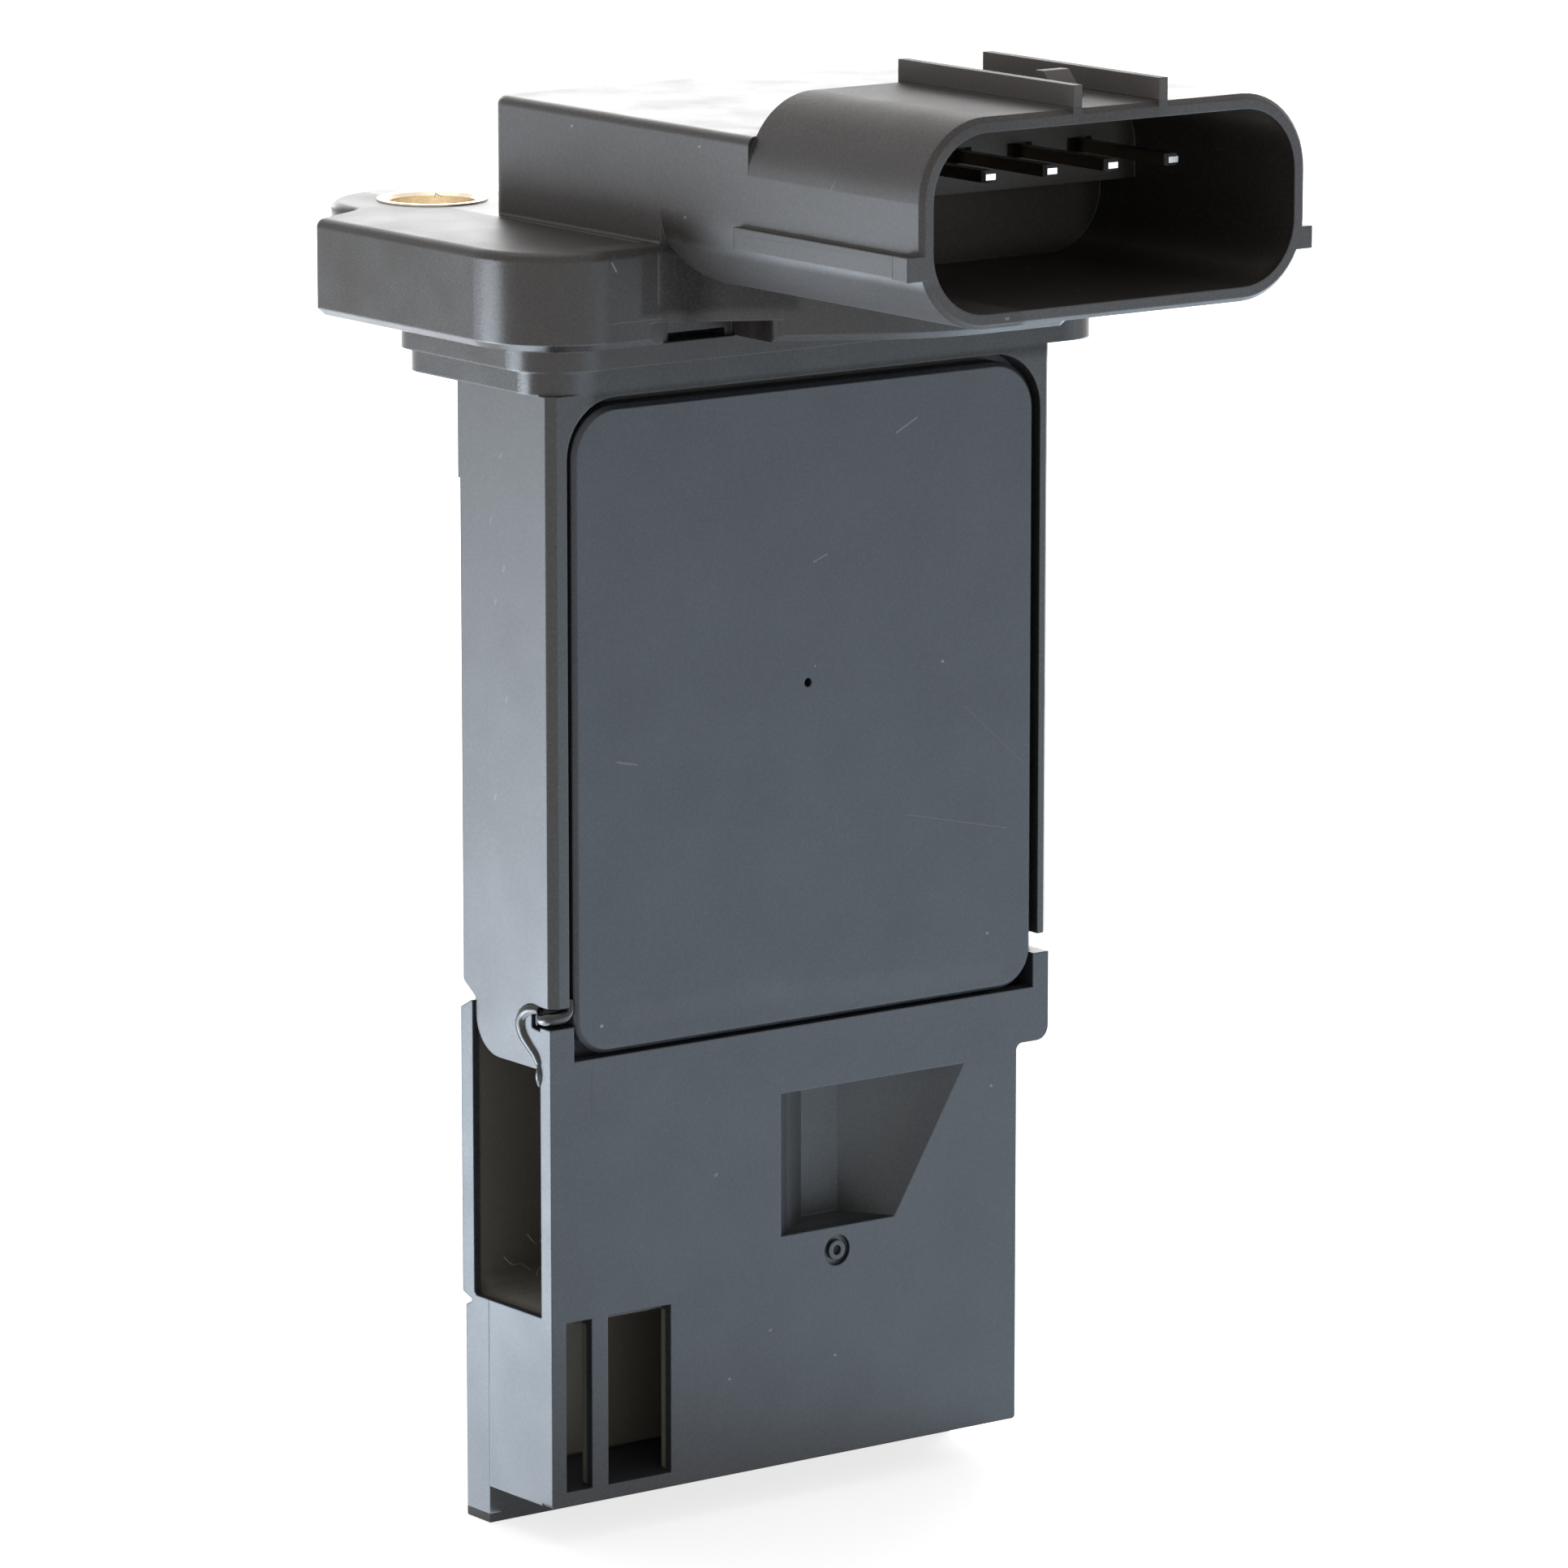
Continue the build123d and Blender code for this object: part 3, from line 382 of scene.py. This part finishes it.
# Painted light: the walls inside the outlet slots are painted paler.
outlet_painted_light_zone = ((-17.8, -6.4, -62.7), (-6, 0.7, -53.9), 0.2, 0.1, (0.26, 0.235, 0.18))
passage_zone = ((-6, -6.0, -63), (14, 0.6, -38.6), 0.3, 0.1, (0.016, 0.015, 0.01))
bypass_skin = moulded_plastic(
    "bypass_satin", colour=(0.022, 0.024, 0.028), pale=(0.046, 0.051, 0.06), roughness=0.42, grain=7.0,
    strokes=bypass_marks, zones=(inlet_painted_light_zone, inlet_floor_zone, outlet_painted_light_zone, passage_zone),
)
dress(bypass_skin, "bypass_shell", "bypass_back_plate")

# Cover sealant
# Cured silicone in the groove round the cover, black and shiny.
# Some of it was squeezed out at the shell's left hook, where it set as a bead, a blob and a drip.
sealant_skin = moulded_plastic(
    "sealant_gloss", colour=(0.008, 0.008, 0.008), pale=(0.02, 0.02, 0.02), roughness=0.22, relief=0.01,
    grain=1.5,
)
dress(sealant_skin, "cover_sealant")


def strand(name, thick, points, material):
    """A round strand along points (x, y, z, share of the thickness)."""
    line = bpy.data.curves.new(name, "CURVE")
    line.dimensions = "3D"
    line.bevel_depth = thick / 2 * mm
    line.bevel_resolution = 4
    line.use_fill_caps = True
    line.resolution_u = 8
    path = line.splines.new("NURBS")
    path.points.add(len(points) - 1)
    for point, (x, y, z, share) in zip(path.points, points):
        point.co = (x * mm, y * mm, z * mm, 1)
        point.radius = share
    path.order_u = 3
    path.use_endpoint_u = True
    drawn = bpy.data.objects.new(name + "_line", line)
    bpy.context.scene.collection.objects.link(drawn)
    bpy.context.view_layer.update()
    mesh = bpy.data.meshes.new_from_object(drawn.evaluated_get(bpy.context.evaluated_depsgraph_get()))
    bpy.data.objects.remove(drawn)
    piece = bpy.data.objects.new(name, mesh)
    bpy.context.scene.collection.objects.link(piece)
    mesh.materials.clear()
    mesh.materials.append(material)
    mesh.polygons.foreach_set("use_smooth", [True] * len(mesh.polygons))
    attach(piece, "root")


side_bead = (
    (-18.7, -5.75, -36.05, 0.5), (-18.72, -5.1, -36.05, 0.8), (-18.74, -4.45, -36.4, 0.9),
    (-18.74, -4.2, -37.0, 1.0), (-18.74, -4.45, -37.6, 0.95), (-18.78, -5.1, -38.1, 0.8),
    (-18.82, -5.75, -38.55, 0.7), (-18.88, -6.0, -39.0, 0.5),
)
corner_blob = (
    (-18.75, -5.9, -36.55, 0.7), (-18.7, -6.5, -36.5, 1.0), (-18.35, -6.85, -36.35, 0.8),
    (-17.9, -6.85, -36.3, 0.95), (-17.5, -6.8, -36.0, 0.7), (-17.45, -6.75, -35.4, 0.5),
)
drip = (
    (-18.88, -6.0, -38.9, 0.5), (-18.92, -6.0, -39.4, 1.0), (-18.92, -6.0, -39.9, 0.9),
    (-18.9, -5.98, -40.2, 0.4),
)
strand("sealant_side_bead", 0.95, side_bead, sealant_skin)
strand("sealant_corner_blob", 0.85, corner_blob, sealant_skin)
strand("sealant_drip", 0.5, drip, sealant_skin)

# Dust fibres
# A few loose pale lint fibres that the air stream left at the bottom of the inlet and on one bush.
# They carry the sealant's slot, because the record has none for dust.
lint = moulded_plastic("lint_pale", (0.45, 0.43, 0.38), (0.6, 0.58, 0.53), 0.7, dust_share=0.0)
fibre_thick = 0.05
fibres = (
    ((-17.2, 0.0, -51.2), (-16.8, -0.3, -51.8), (-16.1, 0.0, -51.6), (-15.5, -0.2, -52.2)),
    ((-15.7, -0.1, -50.1), (-15.4, -0.3, -50.6), (-14.9, 0.0, -50.8), (-14.6, -0.2, -50.4)),
    ((-16.9, -0.2, -53.2), (-16.2, -0.4, -53.0), (-15.6, -0.1, -53.3), (-14.9, -0.3, -53.1)),
    ((-15.2, -0.2, -52.6), (-14.8, 0.0, -51.9), (-14.3, -0.3, -52.3), (-14.0, 0.0, -53.1)),
    ((-11.1, 14.9, 5.5), (-10.9, 15.1, 5.75), (-10.75, 15.3, 5.6), (-10.4, 15.2, 5.45)),
)
for number, points in enumerate(fibres, start=1):
    strand(f"lint_fibre_{number}", fibre_thick, [(*point, 1.0) for point in points], lint)


# Screw bushes
# Turned brass tubes pressed in the lobes, so that the screws don't crush the plastic.
# The lathe leaves fine lines round them.
def metal(name, colour, dark, roughness, stretch=(1.0, 1.0, 10.0), bright=None):
    """Bare metal with fine tool lines, squeezed together by stretch along each axis.

    Bright is a zone of another colour: (low corner, high corner, soft edge, colour).
    """
    line_scale, line_relief, gloss_span = 4.0, 0.004, 0.2
    material = bpy.data.materials.new(name)
    material.use_nodes = True
    tree = material.node_tree
    surface = tree.nodes["Principled BSDF"]
    surface.inputs["Metallic"].default_value = 1.0
    lines = noise(tree, vector_node(tree, "MULTIPLY", place_in_mm(tree), stretch), line_scale, detail=3.0)
    paint = mix_colour(tree, ramp(tree, lines, 0.3, 0.75), (*dark, 1), (*colour, 1))
    if bright:
        corner, far_corner, soft, bright_colour = bright
        paint = mix_colour(tree, zone_mask(tree, corner, far_corner, soft), paint, (*bright_colour, 1))
    rough = math_node(tree, "MULTIPLY_ADD", lines, gloss_span, roughness - gloss_span / 2)
    bump = add_node(
        tree, "ShaderNodeBump", sockets={"Strength": 0.6, "Distance": line_relief * mm, "Height": lines},
    ).outputs[0]
    tree.links.new(paint, surface.inputs["Base Color"])
    tree.links.new(rough, surface.inputs["Roughness"])
    tree.links.new(bump, surface.inputs["Normal"])
    return material


brass = metal("bush_brass", (0.95, 0.86, 0.7), (0.8, 0.66, 0.47), 0.38)
dress(brass, "bush_left", "bush_right")

# Terminals
# Square drawn pins with a tapered nose, tin plated.
# Their flanks are painted dark brown, partly a thin film and partly painted shade; the plating stays bright
# at the tips.
tip_zone = ((-15, -26.0, 5), (15, -25.25, 15), 0.12, (0.93, 0.92, 0.9))
# Painted shade: the pins' flanks take a dark brown; the tip zone keeps the tin's own bright colour.
tin = metal(
    "terminal_tin", (0.16, 0.125, 0.09), (0.13, 0.1, 0.075), 0.3, stretch=(0.25, 0.05, 0.25), bright=tip_zone,
)
dress(tin, *(f"terminal_{index}" for index in range(1, 6)), "thermistor_leads")

# Circuit behind the cover
# A ceramic board with its chips on an aluminium plate, and ribbons bonded to terminals and carrier.
# The flow chip lies on the carrier, with a bead of resin over its bonds.
plate_aluminium = metal("plate_aluminium", (0.8, 0.8, 0.82), (0.5, 0.5, 0.52), 0.35, stretch=(10.0, 1.0, 1.0))
ribbon_aluminium = metal("ribbon_aluminium", (0.85, 0.85, 0.86), (0.6, 0.6, 0.6), 0.3)
board_ceramic = moulded_plastic("board_ceramic", (0.7, 0.69, 0.64), (0.85, 0.84, 0.8), 0.6)
chip_resin = moulded_plastic("chip_resin", (0.02, 0.02, 0.02), (0.05, 0.05, 0.05), 0.35)
capacitor_ceramic = moulded_plastic("capacitor_ceramic", (0.4, 0.28, 0.16), (0.5, 0.38, 0.25), 0.45)
resistor_glaze = moulded_plastic("resistor_glaze", (0.02, 0.02, 0.03), (0.06, 0.06, 0.07), 0.2)
carrier_plastic = moulded_plastic("carrier_plastic", (0.02, 0.02, 0.022), (0.05, 0.05, 0.05), 0.45)
chip_silicon = moulded_plastic("chip_silicon", (0.15, 0.17, 0.24), (0.25, 0.27, 0.33), 0.12, relief=0.0)
bead_resin = moulded_plastic("bead_resin", (0.012, 0.012, 0.012), (0.03, 0.03, 0.03), 0.15)
dress(plate_aluminium, "base_plate")
dress(ribbon_aluminium, "terminal_wires", "carrier_wires")
dress(board_ceramic, "circuit_board")
dress(chip_resin, "control_chip")
dress(capacitor_ceramic, *(f"capacitor_{index}" for index in range(1, 4)))
dress(resistor_glaze, *(f"resistor_{index}" for index in range(1, 4)))
dress(carrier_plastic, "sensor_carrier")
dress(chip_silicon, "flow_chip")
dress(bead_resin, "chip_bead", "thermistor_bead")

# Floor
# A pale level sheet that the sensor stands on.
# It shows as white, and keeps the sensor's soft shadow.
floor_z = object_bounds()[0].z
floor_size = 3.0
glow_start, glow_end, near_glow, far_glow = 40.0, 200.0, 0.76, 0.82
floor_mesh = bpy.data.meshes.new("floor")
floor_mesh.from_pydata(
    [(x * floor_size, y * floor_size, floor_z) for x, y in ((-1, -1), (1, -1), (1, 1), (-1, 1))],
    [], [(0, 1, 2, 3)],
)
floor = bpy.data.objects.new("floor", floor_mesh)
bpy.context.scene.collection.objects.link(floor)
floor_paint = bpy.data.materials.new("floor_pale")
floor_paint.use_nodes = True
floor_tree = floor_paint.node_tree
floor_tree.nodes.remove(floor_tree.nodes["Principled BSDF"])
matt = add_node(floor_tree, "ShaderNodeBsdfDiffuse", sockets={"Color": (0.8, 0.8, 0.8, 1)})
level = vector_node(floor_tree, "MULTIPLY", place_in_mm(floor_tree), (1, 1, 0))
distance = vector_node(floor_tree, "LENGTH", level, output=1)
fade = ramp(floor_tree, distance, glow_start, glow_end, near_glow, far_glow)
glow = add_node(floor_tree, "ShaderNodeEmission", sockets={"Color": (1, 1, 1, 1), "Strength": fade})
both = add_node(floor_tree, "ShaderNodeAddShader", sockets={0: matt.outputs[0], 1: glow.outputs[0]})


def seen_ray(tree):
    """1 for rays that show the background: straight to the camera, mirrored or through glass."""
    rays = add_node(tree, "ShaderNodeLightPath").outputs
    mirrored = math_node(tree, "MAXIMUM", rays["Is Glossy Ray"], rays["Is Transmission Ray"])
    return math_node(tree, "MAXIMUM", rays["Is Camera Ray"], mirrored)


seen = add_node(
    floor_tree, "ShaderNodeMixShader",
    sockets={0: seen_ray(floor_tree), 1: matt.outputs[0], 2: both.outputs[0]},
)
floor_tree.links.new(seen.outputs[0], floor_tree.nodes["Material Output"].inputs["Surface"])
floor_mesh.materials.append(floor_paint)

# Light
# Lit strips of floor to the left and right, which the dark faces mirror, and soft cards behind and
# above; the room itself is brightest behind the sensor.
target = Vector((0, -5, -25)) * mm
look = Vector((0.5842, 0.7879, -0.1946))
left_azimuth, right_azimuth = 126.6, -53.4
cool = (0.75, 0.87, 1.0)
white = (1.0, 1.0, 1.0)
dark_room, bright_room = 0.25, 1.0


def card(name, centre, width, height, radiance, colour, turn=None):
    """A soft rectangular lamp of one brightness; with a turn it lies on the floor and faces up."""
    lamp = bpy.data.lights.new(name, "AREA")
    lamp.shape = "RECTANGLE"
    lamp.size = width
    lamp.size_y = height
    lamp.energy = radiance * math.pi * width * height
    lamp.color = colour
    thing = bpy.data.objects.new(name, lamp)
    thing.location = centre
    if turn is None:
        thing.rotation_euler = (target - Vector(centre)).to_track_quat("-Z", "Y").to_euler()
    else:
        thing.rotation_euler = (math.pi, 0, math.radians(turn))
        thing.visible_diffuse = False
    thing.visible_camera = False
    bpy.context.scene.collection.objects.link(thing)


def floor_card(name, azimuth, near, far, across, radiance, colour, shift=0.0):
    """A lit strip of floor that runs out from the sensor at one compass angle, shifted to its right."""
    lift = 0.5 * mm
    reach = (near + far) / 2
    turn = math.radians(azimuth)
    centre = (
        reach * math.cos(turn) + shift * math.sin(turn), reach * math.sin(turn) - shift * math.cos(turn),
        floor_z + lift,
    )
    card(name, centre, far - near, across, radiance, colour, turn=azimuth)


for name, near, far, across, radiance, shift in (
    ("left_edge", 0.010, 0.06, 0.05, 5.2, -0.026),
    ("left_near", 0.06, 0.12, 0.05, 20.0, -0.033),
    ("left_middle", 0.12, 0.20, 0.13, 5.2, -0.028),
    ("left_floor", 0.20, 0.25, 0.14, 8.5, -0.022),
    ("left_far", 0.25, 0.30, 0.14, 2.8, -0.022),
    ("left_mouth", 0.34, 0.50, 0.08, 3.0, -0.08),
):
    floor_card(name, left_azimuth, near, far, across, radiance, cool, shift=shift)
floor_card("far_left_floor", 154.0, 0.24, 0.42, 0.17, 18.0, (0.8, 0.89, 1.0))
floor_card("right_floor", right_azimuth, 0.016, 0.29, 0.3, 1.5, (0.5, 0.76, 1.0))
floor_card("right_far", right_azimuth, 0.385, 0.6, 0.3, 2.2, (0.45, 0.7, 1.0))
floor_card("behind_right", 36.6, 0.05, 0.40, 0.2, 2.0, (0.8, 0.9, 1.0))
card("back_card", (0.30, 0.45, 0.16), 0.6, 0.3, 4.2, white)
card("top_card", (-0.05, 0.1, 0.5), 0.4, 0.4, 0.8, white)

world = bpy.data.worlds.new("studio")
bpy.context.scene.world = world
world.use_nodes = True
world_tree = world.node_tree
backdrop = world_tree.nodes["Background"]
towards = add_node(world_tree, "ShaderNodeTexCoord").outputs["Generated"]
facing = vector_node(world_tree, "DOT_PRODUCT", towards, (look.x, look.y, -look.z), output=1)
room = ramp(world_tree, facing, 0.2, 0.95, dark_room, bright_room)
strength = add_node(
    world_tree, "ShaderNodeMix", data_type="FLOAT", sockets={0: seen_ray(world_tree), 2: room, 3: 1.0},
).outputs[0]
world_tree.links.new(strength, backdrop.inputs["Strength"])
backdrop.inputs["Color"].default_value = (1, 1, 1, 1)

# Camera
# A long lens at the photograph's angle, a little above the sensor and to its left.
# Its place and its lens come from the photograph's own parallel edges.
lens_data = bpy.data.cameras.new("camera")
lens_data.sensor_width = 36
lens_data.lens = 203.85
lens_data.clip_start = 0.01
camera = bpy.data.objects.new("camera", lens_data)
camera.location = (-0.287506, -0.390461, 0.069528)
camera.rotation_euler = look.to_track_quat("-Z", "Y").to_euler()
bpy.context.scene.collection.objects.link(camera)
bpy.context.scene.camera = camera
bpy.context.scene.view_settings.view_transform = "Standard"
